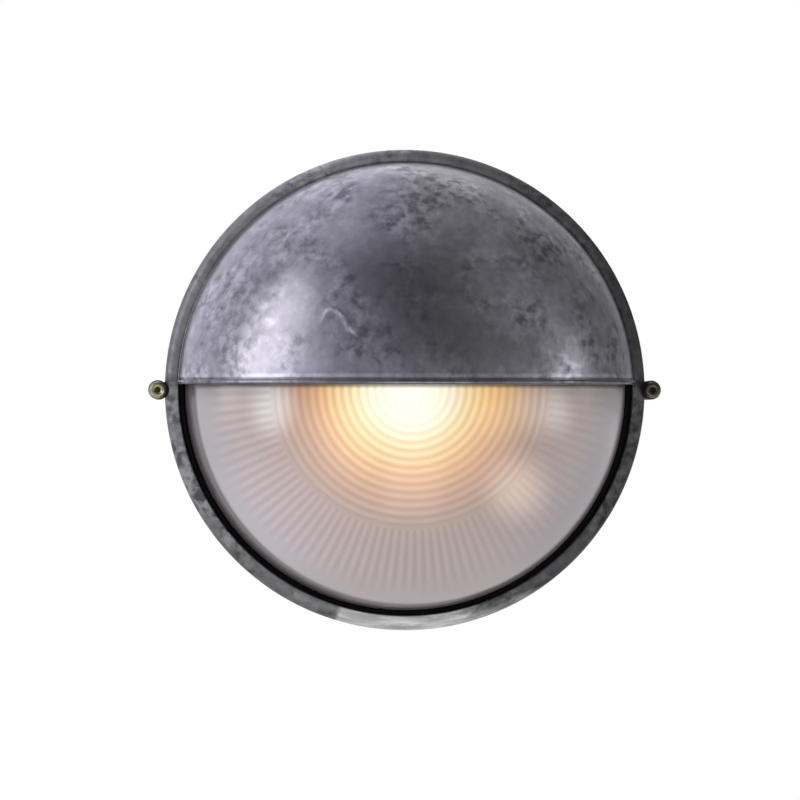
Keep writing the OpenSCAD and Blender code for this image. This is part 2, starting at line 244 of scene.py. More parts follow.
def plug(made, inputs):
    # an input takes another node's output or a plain value
    for key, value in inputs.items():
        if isinstance(value, bpy.types.NodeSocket):
            opened["tree"].links.new(value, made.inputs[key])
        else:
            made.inputs[key].default_value = value


def addNode(kind, inputs=None, **settings):
    made = opened["tree"].nodes.new(kind)
    for key, value in settings.items():
        setattr(made, key, value)
    plug(made, inputs or {})
    return made


def maths(operation, a, b=0.0, c=0.0, clamp=False):
    made = addNode("ShaderNodeMath", {0: a, 1: b, 2: c}, operation=operation, use_clamp=clamp)
    return made.outputs[0]


def plus(a, b, clamp=False):
    return maths("ADD", a, b, clamp=clamp)


def minus(a, b):
    return maths("SUBTRACT", a, b)


def times(first, *others):
    for value in others:
        first = maths("MULTIPLY", first, value)
    return first


def greatest(first, *others):
    for value in others:
        first = maths("MAXIMUM", first, value)
    return first


def addShares(base, *shares, clamp=False):
    # a base value, and a share of each other value added to it
    for count, (value, share) in enumerate(shares, 1):
        base = maths("MULTIPLY_ADD", value, share, base, clamp=clamp and count == len(shares))
    return base


def vectorMaths(operation, a, b=(0, 0, 0)):
    return addNode("ShaderNodeVectorMath", {0: a, 1: b}, operation=operation).outputs


def scaled(vector, amount):
    return addNode("ShaderNodeVectorMath", {0: vector, "Scale": amount}, operation="SCALE").outputs[0]


def reachFrom(x, z):
    # how far a point of the front lies from a place, by its own two offsets
    flat = addNode("ShaderNodeCombineXYZ", {"X": x, "Z": z}).outputs[0]
    return vectorMaths("LENGTH", flat)["Value"]


def blendColors(share, a, b):
    made = addNode("ShaderNodeMix", data_type="RGBA")
    plug(made, {0: share, 6: a, 7: b})
    return made.outputs[2]


def blendValues(share, a, b):
    return addNode("ShaderNodeMix", {0: share, 2: a, 3: b}).outputs[0]


def stretch(value, low, high, toLow=0.0, toHigh=1.0, kind="SMOOTHSTEP"):
    return addNode("ShaderNodeMapRange", {0: value, 1: low, 2: high, 3: toLow, 4: toHigh},
                   interpolation_type=kind).outputs[0]


def noise(vector, scale, detail, roughness=0.5, distortion=0.0):
    return addNode("ShaderNodeTexNoise", {"Vector": vector, "Scale": scale, "Detail": detail,
                                          "Roughness": roughness, "Distortion": distortion}).outputs["Fac"]


def colorRamp(share, stops):
    # each stop is its place, from 0 to 1, and its colour
    ramp = addNode("ShaderNodeValToRGB", {0: share})
    elements = ramp.color_ramp.elements
    while len(elements) < len(stops):
        elements.new(0.5)
    for element, (place, color) in zip(elements, stops):
        element.position = place
        element.color = (*color, 1)
    return ramp.outputs[0]


def toneRamp(degrees, tones):
    brightest = max(tone for place, tone in tones)
    stops = [(place / 360 + 0.5, [tone / brightest] * 3) for place, tone in tones]
    return times(colorRamp(stretch(degrees, -180, 180, kind="LINEAR"), stops), brightest)


def newGroup(name, inputs, outputs):
    # an input is a vector where nothing is given, a colour where four values are, or else a number
    group = opened["tree"] = bpy.data.node_groups.new(name, "ShaderNodeTree")
    for label, value in inputs.items():
        kind = "Vector" if value is None else "Color" if isinstance(value, tuple) else "Float"
        socket = group.interface.new_socket(name=label, in_out="INPUT", socket_type="NodeSocket" + kind)
        if value is not None:
            socket.default_value = value
    for label in outputs:
        kind = "Color" if label == "Color" else "Float"
        group.interface.new_socket(name=label, in_out="OUTPUT", socket_type="NodeSocket" + kind)
    return group, group.nodes.new("NodeGroupInput").outputs, group.nodes.new("NodeGroupOutput")


def placeGroup(group, inputs):
    return addNode("ShaderNodeGroup", inputs, node_tree=group).outputs


def newMaterial(name):
    material = bpy.data.materials.new(name)
    material.use_nodes = True
    opened["tree"] = material.node_tree
    where = addNode("ShaderNodeTexCoord").outputs["Object"]
    return material, material.node_tree.nodes["Principled BSDF"], where


def bump(height, distance):
    return addNode("ShaderNodeBump", {"Height": height, "Distance": distance}).outputs[0]


def placeOf(where):
    parts = addNode("ShaderNodeSeparateXYZ", {0: where}).outputs
    return SimpleNamespace(where=where, x=parts["X"], y=parts["Y"], z=parts["Z"])


def placeRound(where):
    # also the distance from the light's middle line, and the angle round it
    at = placeOf(where)
    at.radius = reachFrom(at.x, at.z)
    at.angle = maths("ARCTAN2", at.z, at.x)
    return at


def nearPlace(at, place, size, strength=1.0):
    # full strength at a place on the front, fading out to nothing at its edge
    offsets = [maths("DIVIDE", minus(along, middle), wide)
               for along, middle, wide in zip((at.x, at.z), place, size)]
    return stretch(reachFrom(*offsets), 0.1, 1.4, strength, 0.0)


def nearLine(where, points):
    # distance from a bent line, taken stretch by stretch
    nearest = None
    for before, after in zip(points, points[1:]):
        run = Vector(after) - Vector(before)
        gap = vectorMaths("SUBTRACT", where, before)[0]
        along = vectorMaths("DOT_PRODUCT", gap, run / run.length_squared)["Value"]
        foot = scaled(run, maths("MULTIPLY", along, 1.0, clamp=True))
        away = vectorMaths("DISTANCE", gap, foot)["Value"]
        nearest = away if nearest is None else maths("MINIMUM", nearest, away)
    return nearest


# Surfaces that several finishes share. Each noise is its scale, detail, roughness and distortion.

castSkin = {
    "clouds": (42, 6, 0.66, 0.5),
    "patches": (30, 3, 0.5, 0.6),
    "specks": (190, 5, 0.56, 0.25),
    "streaks": (300, 4, 0.6, 0.3),
    "grain": (1500, 2, 0.5, 0.0),
    "waves": (24, 2, 0.4, 0.0),
    "contrast": 3.9,          # how far the specks go to dark and light
    "rubbedTone": 0.28,       # the even tone of a place rubbed by hands
}


def makeCastGroup():
    # soft clouds, patches of fine specks and streaks left by hand polishing on an old casting
    group, given, result = newGroup("castSurface", {
        "Vector": None, "Streaked": None, "Dark": (0.1, 0.1, 0.1, 1), "Light": (0.4, 0.4, 0.4, 1),
        "Polish": 0.3, "Mottle": 0.5, "Rubbed": 0.0}, ("Color", "Roughness", "Height", "Streaks"))
    where, rubbed = given["Vector"], given["Rubbed"]
    clouds = stretch(noise(where, *castSkin["clouds"]), 0.3, 0.7)
    patches = stretch(noise(where, *castSkin["patches"]), 0.42, 0.6)
    specks = minus(noise(where, *castSkin["specks"]), 0.5)
    streaks = stretch(noise(given["Streaked"], *castSkin["streaks"]), 0.34, 0.66)
    grain = noise(where, *castSkin["grain"])
    mottle = times(specks, castSkin["contrast"], given["Mottle"], plus(patches, 0.3))
    tone = addShares(0.3, (clouds, 0.3), (streaks, 0.1), (mottle, 0.5), clamp=True)
    kept = addShares(1.0, (rubbed, -0.5))
    tone = addShares(0.0, (tone, kept), (rubbed, castSkin["rubbedTone"]))
    rough = addShares(given["Polish"], (mottle, -0.02), (minus(clouds, 0.5), -0.03),
                      (grain, 0.04), clamp=True)
    waves = noise(where, *castSkin["waves"])
    height = addShares(0.0, (waves, 0.9), (mottle, 0.02), (grain, 0.006))
    plug(result, {"Color": blendColors(tone, given["Dark"], given["Light"]),
                  "Roughness": rough, "Height": height, "Streaks": streaks})
    return group


def makeGrainGroup():
    # fine uneven tone and tooth for plated, plastic and rubber surfaces
    group, given, result = newGroup("fineGrain", {
        "Vector": None, "Color": (0.5, 0.5, 0.5, 1), "Scale": 400.0, "Shade": 0.2, "Roughness": 0.4},
                                    ("Color", "Roughness", "Height"))
    fine = noise(given["Vector"], given["Scale"], 5, 0.6)
    broad = noise(given["Vector"], 60, 3)
    tone = stretch(addShares(0.0, (fine, 0.5), (broad, 0.5)), 0.35, 0.65)
    kept = minus(1.0, times(given["Shade"], tone))
    plug(result, {"Color": scaled(given["Color"], kept), "Height": fine,
                  "Roughness": addShares(given["Roughness"], (tone, 0.12), clamp=True)})
    return group


castGroup = makeCastGroup()
grainGroup = makeGrainGroup()


def grainTones(where, color, scale, shade, roughness):
    return placeGroup(grainGroup, {
        "Vector": where, "Color": color, "Scale": scale, "Shade": shade, "Roughness": roughness})


# Measures of the front casting

casting = {
    "ringRadius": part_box("hooded_frame")[1].z,
    "openingRadius": 0.1178,
    "ringFront": 0.058,
    "shoulder": 0.005,
    "innerRound": 0.0008,
    "lipBack": 0.052,
    "skirtRadius": 0.1212,
    "skirtLow": 0.036,
    "skirtRound": 0.0006,
    "hoodDepth": 0.088,
    "hoodBase": 0.056,
    "hoodWall": 0.0026,
    "levelStep": 2,           # degrees from one level seam to the next
    "turnSteps": 160,
    "inRing": 1.2,            # degrees that the hood goes on into the ring
    "lipHeight": 0.0028,
    "lipDroop": 0.7,          # degrees that the lip falls towards the front
    "beadHeight": 0.0024,
    "beadOut": 0.0015,
    "beadRound": 0.001,
    "creaseHeight": 0.001,
    "creaseDepth": 0.0004,
    "ringFall": 0.0003,       # how much the ring's face drops from its inner edge to its shoulder
    "filletRadius": 0.0008,
    "footShare": 0.992,       # the opening is a little flatter at its foot
    "earX": 0.1286,
    "earRadius": 0.005,
    "earRound": 0.0005,
    "earSeat": 0.053,
    "webHeight": 0.004,       # half the height of the web between ear and ring
    "screwHole": 0.00275,
    "seatRadius": 0.0056,
}
beadTop = casting["lipHeight"] + casting["beadHeight"]
creaseTop = beadTop + casting["creaseHeight"]

# Finishes. An angle is in degrees round the light's middle, from the right over the top.

metal = {
    "hoodDark": (0.193, 0.186, 0.214, 1),
    "hoodLight": (0.522, 0.511, 0.576, 1),
    "ringDark": (0.092, 0.092, 0.099, 1),
    "ringLight": (0.283, 0.282, 0.29, 1),
    "hoodPolish": 0.27,
    "ringPolish": 0.5,
    "hoodMottle": 1.65,
    "pittedMottle": 0.7,      # how much more blotchy the ring is at its lower left
    "housingMottle": 0.9,
    "wave": 0.00012,
    "streakTurn": 0.02,       # how slowly the streaks change round the light
    "ringStart": (0.1172, 0.1181),      # where the ring's finish begins, below and above the lip
    "ringPaintedLight": [            # painted light and shade: how bright the ring is, by the angle
        (-180, 1.5), (-150, 1.2), (-120, 0.95), (-60, 0.53), (-30, 0.52), (8, 0.54), (30, 0.62), (60, 1.2),
        (90, 2.7), (115, 2.8), (135, 1.95), (160, 1.5), (180, 1.3)],
    "shoulderShade": (0.1195, 0.1225, 1.0, 0.8),
    "besideHood": (0.118, 0.1208),      # painted shade: the ring is darker in this band along the hood
    "besideShade": (-0.11, -0.02, 0.9, 0.68),         # from left to right
    # the tones of a painted reflection of light from below, at the ring's foot
    "footGleamDark": (0.38, 0.38, 0.385, 1),
    "footGleamLight": (0.63, 0.63, 0.635, 1),
    "footGleamFrom": (-107.6, -106.4),       # the painted reflection of light from below at the ring's foot, by the angle
    "footGleamTo": (-88, -68),
    "footGleamRagged": 6.88,       # degrees that its right end wanders
    "footGleamSlant": (0.1195, 0.1235, 0.0, 9.74),         # and that it slants over the shoulder
    # the colour of painted shade
    "paintedShade": (0.035, 0.034, 0.037, 1),
    "paintedEdgeHighlight": (0.1, 0.45),  # how much brighter the painted highlight on the edge over the bead is, left and right
    # how dark the painted shade is in the crease, under the bead and in the corner beside the hood
    "creaseShade": 0.5,
    "underShade": 0.75,
    "cornerShade": 0.4,
    "beadDim": (0.35, 0.5),      # how much darker the bead is made, left and right
    "scar": [                 # a low bent run left by the mould, on the left of the hood
        (-0.0466, -0.1330, 0.0331), (-0.0446, -0.1327, 0.0366), (-0.0431, -0.1328, 0.0382),
        (-0.0414, -0.1331, 0.0390), (-0.0399, -0.1336, 0.0389), (-0.0384, -0.1342, 0.0380),
        (-0.0357, -0.1357, 0.0350), (-0.0331, -0.1373, 0.0305), (-0.0299, -0.1386, 0.0277)],
    "scarWidth": 0.0022,
    "scarRise": 1.6,
    # the colour of the painted highlight along the run
    "scarHighlight": (0.6, 0.59, 0.66, 1),
    "rubbed": ((-0.07, 0.03), (0.024, 0.05)),         # where the hood is rubbed even: place and size
    "even": ((0.004, 0.034), (0.04, 0.045), 0.9),     # where it is least blotchy, and how much
    "rimBand": ((0.098, 0.106), (0.1135, 0.117)),     # where the painted light along the edge fades in and out
    "rimTones": [             # painted light along the hood's edge: how bright it is, by the angle
        (0, 0.8), (12, 0.92), (30, 1.3), (55, 1.3), (75, 1.1), (90, 0.95), (130, 1.0), (155, 1.15),
        (172, 1.15)],
    "hoodPatches": [               # darker and lighter patches on the hood: place, size, strength
        ((-0.0173, 0.0897), (0.012, 0.0105), -0.3), ((0.0003, 0.0994), (0.008, 0.006), 0.15),
        ((0.0292, 0.101), (0.009, 0.006), 0.22), ((0.0551, 0.0707), (0.012, 0.01), -0.18),
        ((0.0381, 0.0651), (0.007, 0.007), 0.18), ((0.0023, 0.047), (0.014, 0.016), -0.14),
        ((-0.0725, 0.0543), (0.01, 0.012), -0.24), ((-0.081, 0.026), (0.008, 0.022), -0.18),
        ((-0.0513, 0.0824), (0.008, 0.006), 0.18), ((0.042, 0.018), (0.034, 0.016), -0.2),
        ((0.067, 0.062), (0.01, 0.016), -0.22), ((0.0821, 0.0406), (0.009, 0.014), -0.2),
        ((0.0908, 0.0185), (0.009, 0.012), -0.2), ((-0.057, 0.0128), (0.014, 0.008), 0.16),
        ((-0.0129, 0.0137), (0.01, 0.008), 0.16), ((0.0144, 0.0286), (0.013, 0.018), -0.12),
        ((-0.0302, 0.0282), (0.0016, 0.0014), 0.4)],
}


def castTones(at, inputs):
    turn = times(at.angle, metal["streakTurn"])
    streaked = addNode("ShaderNodeCombineXYZ", {"X": at.radius, "Y": turn, "Z": at.y}).outputs[0]
    return placeGroup(castGroup, {"Vector": at.where, "Streaked": streaked, **inputs})


def setMetal(shader, color, roughness, height, depth):
    plug(shader, {"Metallic": 1.0, "Base Color": color, "Roughness": roughness,
                  "Normal": bump(height, depth)})


def makeHousingMetal():
    material, shader, where = newMaterial("housingCasting")
    tones = castTones(placeRound(where), {
        "Dark": metal["ringDark"], "Light": metal["ringLight"], "Polish": metal["ringPolish"],
        "Mottle": metal["housingMottle"]})
    setMetal(shader, tones["Color"], tones["Roughness"], tones["Height"], metal["wave"])
    return material


def placeOnCasting(where):
    at = placeRound(where)
    at.degrees = maths("DEGREES", at.angle)
    forward = plus(at.y, casting["hoodBase"])
    drop = times(forward, math.tan(math.radians(casting["lipDroop"])))
    at.level = minus(at.z, drop)  # height as the drooping lip runs
    at.aboveLip = stretch(at.level, 0.001, 0.002)
    start = stretch(at.aboveLip, 0, 1, *metal["ringStart"])
    at.onRing = stretch(minus(at.radius, start), -0.0003, 0.0003)
    at.offRing = minus(1.0, at.onRing)
    return at


def ringColors(at):
    # the ring's dark and light tone, with painted light and shade by the angle and painted shade on its
    # shoulder and beside the hood
    beside = stretch(at.aboveLip, 0, 1, 1.0, stretch(at.x, *metal["besideShade"]))
    bright = times(toneRamp(at.degrees, metal["ringPaintedLight"]),
                   stretch(at.radius, *metal["shoulderShade"]),
                   stretch(at.radius, *metal["besideHood"], beside, 1.0))
    return [scaled(metal[shade][:3], bright) for shade in ("ringDark", "ringLight")]


def paintedFootGleam(at, streaks):
    # a painted reflection of light from below, bright at the ring's foot: its left end is sharp, its right
    # end ragged
    slant = stretch(at.radius, *metal["footGleamSlant"])
    ragged = minus(at.degrees, addShares(slant, (streaks, metal["footGleamRagged"])))
    return times(at.onRing, stretch(at.degrees, *metal["footGleamFrom"]),
                 stretch(ragged, *metal["footGleamTo"], 1.0, 0.0))


def hoodEdgeLightAndPatches(at):
    # painted light along the hood's edge, by the angle, and darker and lighter patches
    inner, outer = metal["rimBand"]
    band = times(stretch(at.radius, *inner), stretch(at.radius, *outer, 1.0, 0.2))
    rim = minus(toneRamp(at.degrees, metal["rimTones"]), 1.0)
    rimAndPatches = addShares(1.0, (rim, band))
    for patchSpot in metal["hoodPatches"]:
        rimAndPatches = plus(rimAndPatches, nearPlace(at, *patchSpot))
    return blendValues(at.onRing, rimAndPatches, 1.0)


def paintedEdgeHighlight(at):
    # a painted highlight on the edge over the bead, stronger to the right
    return times(stretch(at.level, creaseTop - 0.0002, creaseTop + 0.0006),
                 stretch(at.level, creaseTop + 0.0012, creaseTop + 0.0026, 1.0, 0.0), at.offRing,
                 stretch(at.x, -0.11, -0.05, *metal["paintedEdgeHighlight"]))


def castPaintedShade(at):
    # painted shade in the crease, under the bead, in the corner beside the hood and round the side screws;
    # the bead is also made darker on its face
    level, lip = at.level, casting["lipHeight"]
    crease = times(stretch(level, beadTop - 0.0002, beadTop + 0.0002),
                   stretch(level, creaseTop - 0.0003, creaseTop + 0.0003, 1.0, 0.0),
                   metal["creaseShade"])
    under = stretch(level, lip + 0.0013, lip + 0.0005, 0.0, metal["underShade"])
    beadDim = times(stretch(at.x, -0.09, 0.1, *metal["beadDim"]),
                 stretch(level, beadTop + 0.0006, beadTop - 0.0002), at.aboveLip)
    cornerGap = maths("ABSOLUTE", minus(at.radius, casting["openingRadius"] + 0.0004))
    corner = times(stretch(cornerGap, 0.0003, 0.0009, metal["cornerShade"], 0.0), at.aboveLip)
    aside = minus(maths("ABSOLUTE", at.x), casting["earX"])
    seat = times(stretch(reachFrom(aside, at.z), casting["seatRadius"] + 0.0005,
                         casting["seatRadius"] - 0.0001), stretch(aside, 0.001, -0.0015))
    return greatest(times(greatest(crease, under), at.offRing), beadDim, corner, seat)


def mouldScar(at):
    away = nearLine(at.where, metal["scar"])
    return times(stretch(away, 0.0, metal["scarWidth"], 1.0, 0.0),
                 stretch(noise(at.where, 260, 3), 0.35, 0.6, 0.45, 1.0),
                 stretch(at.x, -0.046, -0.041, 0.4, 1.0))  # its left arm is faint


def makeHoodMetal():
    material, shader, where = newMaterial("hoodCasting")
    at = placeOnCasting(where)
    onRing = at.onRing
    ringDark, ringLight = ringColors(at)
    pitted = times(onRing, stretch(plus(at.x, at.z), -0.1, -0.15))
    mottle = addShares(metal["hoodMottle"], (pitted, metal["pittedMottle"]),
                       (nearPlace(at, *metal["even"]), -1.0))
    tones = castTones(at, {
        "Dark": blendColors(onRing, metal["hoodDark"], ringDark),
        "Light": blendColors(onRing, metal["hoodLight"], ringLight),
        "Mottle": mottle, "Rubbed": nearPlace(at, *metal["rubbed"]),
        "Polish": stretch(onRing, 0, 1, metal["hoodPolish"], metal["ringPolish"])})
    # a painted reflection of light from below, at the ring's foot
    gleam = blendColors(tones["Streaks"], metal["footGleamDark"], metal["footGleamLight"])
    color = blendColors(paintedFootGleam(at, tones["Streaks"]), tones["Color"], gleam)
    # the hood's painted edge light and its patches, and a painted highlight over the bead
    color = scaled(color, times(hoodEdgeLightAndPatches(at), plus(paintedEdgeHighlight(at), 1.0)))
    # painted shade in the crease, under the bead, in the corner and round the side screws
    color = blendColors(castPaintedShade(at), color, metal["paintedShade"])
    scar = mouldScar(at)  # a raised run, with a painted highlight along it
    color = blendColors(times(scar, 0.55), color, metal["scarHighlight"])
    height = addShares(tones["Height"], (scar, metal["scarRise"]))
    setMetal(shader, color, tones["Roughness"], height, metal["wave"])
    return material


def makePlain(name, color, roughness, scale=400.0, shade=0.2, metallic=0.0, coat=0.0, shine=0.5):
    material, shader, where = newMaterial(name)
    tones = grainTones(where, (*color, 1), scale, shade, roughness)
    plug(shader, {
        "Base Color": tones["Color"], "Roughness": tones["Roughness"], "Metallic": metallic,
        "Specular IOR Level": shine, "Coat Weight": coat, "Coat Roughness": 0.12,
        "Normal": bump(tones["Height"], 0.00005)})
    return material


# The ribbed glass: its measures serve the mesh and the finish alike

glass = {
    "radius": 0.1146,
    "seat": 0.052,
    "depth": 0.062,
    "wall": 0.004,
    "flangeRadius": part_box("glass_lens")[1].z,
    "flangeLow": -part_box("glass_lens")[1].y,
    "flangeWall": 0.0035,
    "ribPitch": 0.0042,
    "ribCount": 16,
    "ribRise": 0.0009,
    "ribSteps": 6,
    "fluteCount": 120,
    "fluteRise": 0.0007,
    "fluteEnd": 0.1035,
    "fluteFade": (0.094, 0.107),
    "sideRings": (0.0735, 0.076, 0.08, 0.084, 0.088, 0.092, 0.096, 0.0995, 0.1025, 0.105, 0.1072, 0.1089,
                  0.1101),
    "lipShade": (0.0019, -0.0001, 0.22, 1.0),   # heights between which the lip's shade fades, its tones
    "rimStart": (0.1095, 0.1113),               # where the frosting ends and a painted darkness stands in for the dark seat seen through
    "rimShift": 0.0017,       # the frosted part sits this much off the middle
    "frost": ((0.615, 0.555, 0.59, 1), (0.705, 0.64, 0.68, 1)),
    # the frost's warmer tone near the hot spot, painted warm light from the bulb
    "paintedGlowFrost": (0.635, 0.55, 0.5, 1),
    "sideTint": ((0.92, 0.98, 1.02, 1), (0.85, 0.88, 0.94, 1)),         # left and right
    "paintedGlassEdge": ((0.16, 0.135, 0.15, 1), (0.3, 0.26, 0.27, 1)),        # painted dark edge, left and right
    "throughLight": 0.25,
    "polish": 0.3,
    "coat": 0.6,
}
fluteStart = (glass["ribCount"] + 1) * glass["ribPitch"]
glow = {
    "centre": (-0.002, 0.001),
    "tones": [                # distance from the hot spot, colour of the light thrown through
        (0.000, (0.64, 0.66, 0.62)),
        (0.012, (0.6, 0.6, 0.5)),
        (0.020, (0.53, 0.52, 0.4)),
        (0.030, (0.44, 0.34, 0.14)),
        (0.037, (0.4, 0.25, 0.06)),
        (0.044, (0.335, 0.155, 0.02)),
        (0.056, (0.18, 0.065, 0.008)),
        (0.068, (0.07, 0.025, 0.005)),
        (0.082, (0.04, 0.02, 0.01)),
        (0.112, (0.035, 0.03, 0.02)),
    ],
    "brightest": 0.66,        # the highest share in these colours
    "patches": [              # light thrown back by the reflector: place, size, colour
        ((-0.070, -0.0085), (0.0115, 0.016), (0.19, 0.24, 0.26)),
        ((-0.030, -0.015), (0.018, 0.03), (0.09, 0.08, 0.05)),
        ((0.064, -0.008), (0.013, 0.016), (0.11, 0.11, 0.1)),
        ((0.0535, -0.0505), (0.017, 0.017), (0.18, 0.145, 0.11)),
        ((0.0755, -0.011), (0.009, 0.014), (0.1, 0.11, 0.11)),
        ((0.045, -0.006), (0.014, 0.02), (0.09, 0.09, 0.03)),
        ((-0.07, -0.065), (0.045, 0.04), (0.04, 0.035, 0.05)),
    ],
    "ringContrast": 0.1,
    "fluteContrast": 0.1,
}


def glassLines(at):
    # ribs gather the light in bright lines, and leave darker ones between
    ringPhase = times(at.radius, 2 * math.pi / glass["ribPitch"])
    rings = times(maths("COSINE", ringPhase),
                  stretch(at.radius, fluteStart - 0.003, fluteStart - 0.001, 1.0, 0.0),
                  stretch(at.radius, 0.004, 0.022))
    flutePhase = times(at.angle, float(glass["fluteCount"]))
    flutes = times(maths("COSINE", flutePhase),
                   stretch(at.radius, fluteStart - 0.001, fluteStart + 0.001),
                   stretch(at.radius, *glass["fluteFade"], 1.0, 0.0),
                   stretch(at.x, 0.0, 0.06, 1.0, 0.55))
    return addShares(1.0, (rings, glow["ringContrast"]), (flutes, glow["fluteContrast"]))


def lampLight(at, away):
    # the lamp's warm light, strongest in front of the bulb, and pale patches about it
    reach = glow["tones"][-1][0]
    stops = [(distance / reach, [c / glow["brightest"] for c in color]) for distance, color in glow["tones"]]
    lit = colorRamp(maths("DIVIDE", away, reach), stops)
    for place, size, color in glow["patches"]:
        patch = scaled([c / glow["brightest"] for c in color], nearPlace(at, place, size))
        lit = vectorMaths("ADD", lit, patch)[0]
    return lit


def frostedBody(at, away):
    body = blendColors(noise(at.where, 30, 4, 0.55), *glass["frost"])
    # painted warm light: the frost is warmer near the hot spot
    body = blendColors(stretch(away, 0.105, 0.045), body, glass["paintedGlowFrost"])
    sides = times(stretch(at.radius, 0.088, 0.106), stretch(maths("ABSOLUTE", at.x), 0.03, 0.09))
    cool = blendColors(stretch(at.x, -0.05, 0.07), *glass["sideTint"])
    return blendColors(sides, body, vectorMaths("MULTIPLY", body, cool)[0])


def makeRibbedGlass():
    # the lamp's light through the glass, the bright rib lines and the patches thrown back by the reflector
    # are painted into its emission
    material, shader, where = newMaterial("ribbedGlass")
    at = placeRound(where)
    x, z = glow["centre"]
    away = reachFrom(minus(at.x, x), minus(at.z, z))
    aside = reachFrom(minus(at.x, glass["rimShift"]), at.z)
    frosted = stretch(aside, *glass["rimStart"], 1.0, 0.0)
    tone = times(glassLines(at), stretch(at.z, *glass["lipShade"], kind="LINEAR"))
    # the glass's clear edge is painted dark, for the seat and shade seen through it
    edge = blendColors(stretch(at.x, -0.1, 0.1), *glass["paintedGlassEdge"])
    plug(shader, {
        "Emission Color": scaled(lampLight(at, away), times(tone, frosted)),
        "Emission Strength": glow["brightest"],
        "Base Color": blendColors(frosted, edge, scaled(frostedBody(at, away), tone)),
        "Transmission Weight": glass["throughLight"], "Roughness": glass["polish"], "IOR": 1.5,
        "Coat Weight": glass["coat"], "Coat Roughness": 0.12,
        "Normal": bump(noise(where, 700, 3, 0.6), 0.00002)})
    return material


bulb = {
    "color": (0.95, 0.9, 0.8, 1),
    "lit": ((1.0, 0.86, 0.6, 1), (0.12, 0.09, 0.05, 1)),     # up to the lip, and hidden behind the hood
    "litHeights": (0.012, 0.048),
    "strength": 3.0,
}


def makeBulbMaterial():
    material, shader, where = newMaterial("bulbGlass")
    tones = grainTones(where, bulb["color"], 200.0, 0.05, 0.25)
    height = stretch(placeOf(where).z, *bulb["litHeights"])
    plug(shader, {
        "Base Color": tones["Color"], "Roughness": tones["Roughness"],
        "Emission Color": blendColors(height, *bulb["lit"]), "Emission Strength": bulb["strength"]})
    return material


screwFinish = {
    "bright": (0.66, 0.6, 0.42, 1),
    "olive": (0.3, 0.29, 0.16, 1),
    # colours of painted shade, of the right screw's painted shade and of a painted glint
    "paintedShade": (0.012, 0.012, 0.008, 1),
    "shadedBrass": (0.07, 0.068, 0.055, 1),
    "gleam": (0.8, 0.76, 0.7, 1),
    "glintSpot": ((-0.1262, -0.0012), 0.0009),    # place and size of a painted glint on the left one
    "socket": 0.0017,
    "tooth": 0.00006,
}


def makeScrewBrass():
    # old brass: worn bright on the rim, olive on the flanks, with painted shade in the socket
    material, shader, where = newMaterial("dullBrass")
    at = placeOf(where)
    socket, seat, ear = screwFinish["socket"], -casting["earSeat"], casting["earX"]
    radius = reachFrom(minus(maths("ABSOLUTE", at.x), ear), at.z)
    tones = grainTones(where, screwFinish["bright"], 900.0, 0.5, 0.3)
    worn = times(stretch(radius, socket, socket + 0.0004),
                 stretch(noise(where, 420, 4, 0.6), 0.42, 0.6, 0.1, 1.0))
    color = blendColors(worn, screwFinish["olive"], tones["Color"])
    # painted shade darkens the right screw
    rightScrewShade = times(stretch(at.x, -0.01, 0.01), stretch(radius, 0.0036, 0.0043, 0.93, 0.55))
    color = blendColors(rightScrewShade, color, screwFinish["shadedBrass"])
    # a painted glint on the left screw's head
    (x, z), size = screwFinish["glintSpot"]
    away = reachFrom(minus(at.x, x), minus(at.z, z))
    glintShare = stretch(away, size * 0.6, size * 1.3, 1.0, 0.0)
    color = blendColors(glintShare, color, screwFinish["gleam"])
    # painted shade in the socket, and a painted shadow at the foot of the left head towards the ring and all
    # round the right one
    socketShade = stretch(radius, socket - 0.0005, socket, 0.85, 0.0)
    foot = times(stretch(at.y, seat - 0.0016, seat - 0.0006), stretch(at.x, -ear - 0.001, -ear + 0.0025))
    color = blendColors(greatest(socketShade, foot), color, screwFinish["paintedShade"])
    setMetal(shader, color, tones["Roughness"], tones["Height"], screwFinish["tooth"])
    return material


materials = {
    "hood_metal": makeHoodMetal(),
    "housing_metal": makeHousingMetal(),
    "ribbed_glass": makeRibbedGlass(),
    "seal_rubber": makePlain("sealRubber", (0.008, 0.008, 0.008), 0.8, 900.0, 0.4, shine=0.2),
    "seal_silicone": makePlain("sealSilicone", (0.5, 0.47, 0.43), 0.5, 500.0),
    "reflector_white": makePlain("whiteEnamel", (0.8, 0.8, 0.77), 0.28, 300.0, 0.06, coat=0.5),
    "zinc_steel": makePlain("zincPlate", (0.55, 0.55, 0.53), 0.32, 700.0, 0.3, metallic=1.0),
    "contact_brass": makePlain("brightBrass", (0.72, 0.53, 0.22), 0.28, 600.0, metallic=1.0),
    "screw_brass": makeScrewBrass(),
    "porcelain": makePlain("porcelain", (0.82, 0.8, 0.75), 0.18, 200.0, 0.06, coat=0.8),
    "bulb_glass": makeBulbMaterial(),
    "terminal_plastic": makePlain("terminalPlastic", (0.72, 0.72, 0.68), 0.45, 800.0, 0.1),
    "live_insulation": makePlain("brownSleeve", (0.16, 0.06, 0.03), 0.4, 900.0, 0.15),
    "neutral_insulation": makePlain("blueSleeve", (0.03, 0.1, 0.38), 0.4, 900.0, 0.15),
    "earth_insulation": makePlain("greenSleeve", (0.14, 0.36, 0.05), 0.4, 900.0, 0.15),
}
for part in frame["record"]["subparts"]:
    node = nodes[part["node"]]
    node.data.materials.clear()
    node.data.materials.append(materials[part["material_slot"]])
print("materials made:", len(materials))


# Front casting: ring, hood with its bead, and ears

